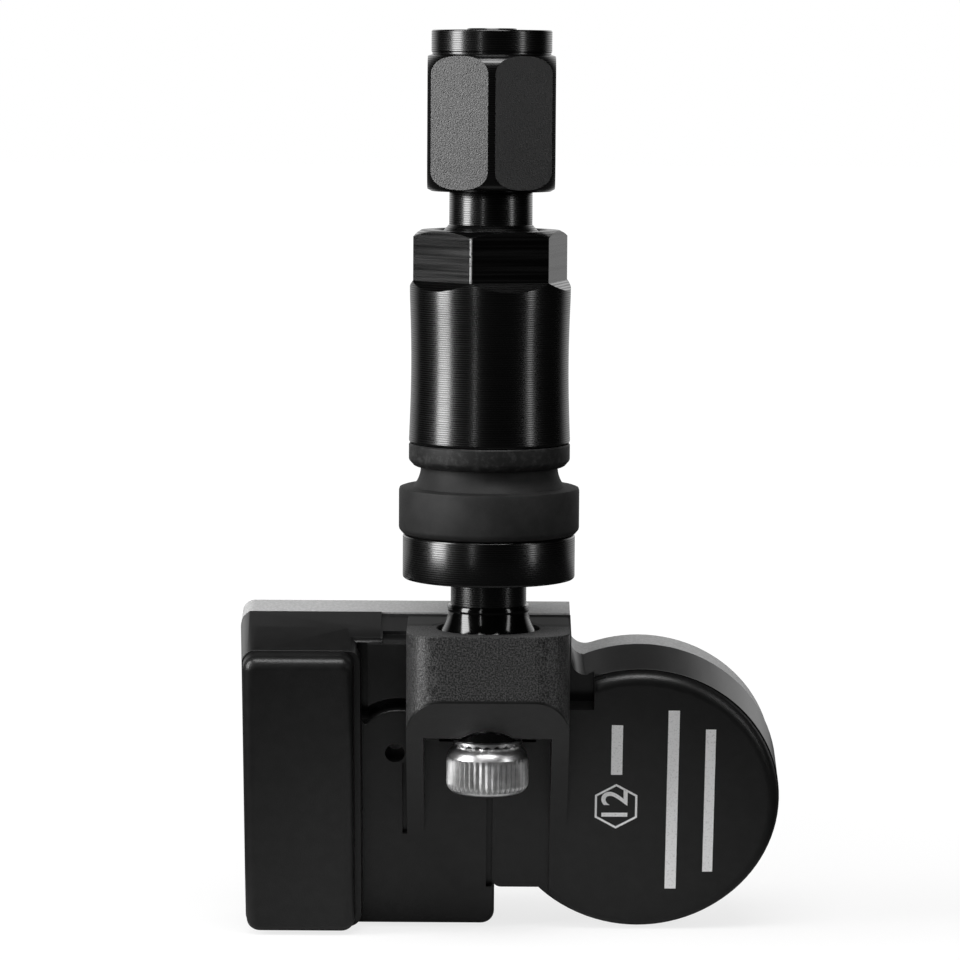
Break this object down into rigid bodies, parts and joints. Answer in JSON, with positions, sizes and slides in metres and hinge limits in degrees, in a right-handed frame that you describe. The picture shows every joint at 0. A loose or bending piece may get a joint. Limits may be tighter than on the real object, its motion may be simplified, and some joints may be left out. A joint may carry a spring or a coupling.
{
  "type": "tyre pressure sensor",
  "caption": "Tyre pressure sensor: a boxy housing with a round battery end hangs on the ball foot of a capped clamp-in metal valve, held by a screw from below.",
  "frame": {"origin": "on the valve's axis, on the face of the rubber seal that the wheel's inner side presses on", "axes": "+Z along the valve, out of the wheel; +X to the right of the housing's front; +Y from the housing's front to its back"},
  "size_m": [0.0482, 0.0254, 0.0804],
  "materials": {
    "anodised_black": "black anodised and turned, satin to glossy",
    "seal_rubber": "matte moulded",
    "washer_plastic": "matte moulded",
    "cap_ring_rubber": "matte moulded",
    "core_brass": "turned",
    "white_plastic": "matte",
    "spring_steel": "drawn wire",
    "black_oxide": "glossy black",
    "bright_nickel": "plated, satin",
    "housing_plastic": "grained moulding",
    "cover_grey": "smooth moulding",
    "board_green": "solder resist",
    "cell_steel": "pressed, nickel plated",
    "tab_nickel": "rolled strip",
    "chip_black": "moulded",
    "can_metal": "pressed can",
    "ceramic_tan": "fired",
    "ferrite": "sintered",
    "copper": "enamelled wire"
  },
  "bodies": {
    "valve": {"valve_stem": "anodised_black", "rubber_seal": "seal_rubber", "core_body": "core_brass", "core_seal": "white_plastic", "core_spring": "spring_steel", "saddle_washer": "black_oxide"},
    "pin": {"core_pin": "core_brass", "core_cup": "seal_rubber"},
    "cap_carrier": {"cap_seal": "cap_ring_rubber"},
    "cap": {"valve_cap": "anodised_black"},
    "nut_carrier": {"nut_washer": "washer_plastic"},
    "nut": {"sleeve_nut": "anodised_black"},
    "screw_carrier": {"lock_washer": "bright_nickel"},
    "screw": {"clamp_screw": "bright_nickel"},
    "sensor": {"housing": "housing_plastic", "back_cover": "cover_grey", "circuit_board": "board_green", "battery_cell": "cell_steel", "battery_tab_front": "tab_nickel", "battery_tab_back": "tab_nickel", "pressure_sensor": "chip_black", "sensor_gasket": "seal_rubber", "port_filter": "white_plastic", "transmitter_chip": "chip_black", "crystal": "can_metal", "chip_capacitors": "ceramic_tan", "antenna_strip": "core_brass", "coil_core": "ferrite", "coil_winding": "copper"}
  },
  "joints": [
    {"name": "pin_press", "type": "slide", "parent": "valve", "child": "pin", "axis": [0, 0, -1], "range_m": [0, 0.001], "stiffness_N_per_m": 600, "springref_m": -0.002, "deforming": ["core_spring"]},
    {"name": "cap_travel", "type": "slide", "parent": "valve", "child": "cap_carrier", "axis": [0, 0, 1], "range_m": [0, 0.00635]},
    {"name": "cap_turn", "type": "hinge", "parent": "cap_carrier", "child": "cap", "pos_m": [0, 0, 0.03], "axis": [0, 0, 1], "range_deg": [0, 2880]},
    {"name": "nut_travel", "type": "slide", "parent": "valve", "child": "nut_carrier", "axis": [0, 0, 1], "range_m": [0, 0.00299]},
    {"name": "nut_turn", "type": "hinge", "parent": "nut_carrier", "child": "nut", "pos_m": [0, 0, 0.01], "axis": [0, 0, 1], "range_deg": [0, 1080]},
    {"name": "screw_travel", "type": "slide", "parent": "valve", "child": "screw_carrier", "axis": [0, 0, -1], "range_m": [0, 0.00139]},
    {"name": "screw_turn", "type": "hinge", "parent": "screw_carrier", "child": "screw", "pos_m": [0, 0, -0.025], "axis": [0, 0, -1], "range_deg": [0, 720]},
    {"name": "sensor_tilt", "type": "hinge", "parent": "valve", "child": "sensor", "pos_m": [0, 0, -0.013], "axis": [1, 0, 0], "range_deg": [-1.5, 8]}
  ],
  "couplings": [
    {"joint": "cap_turn", "follows": "cap_travel", "rad_per_m": 7913.3},
    {"joint": "nut_turn", "follows": "nut_travel", "rad_per_m": 6283.2},
    {"joint": "screw_turn", "follows": "screw_travel", "rad_per_m": 8976}
  ]
}
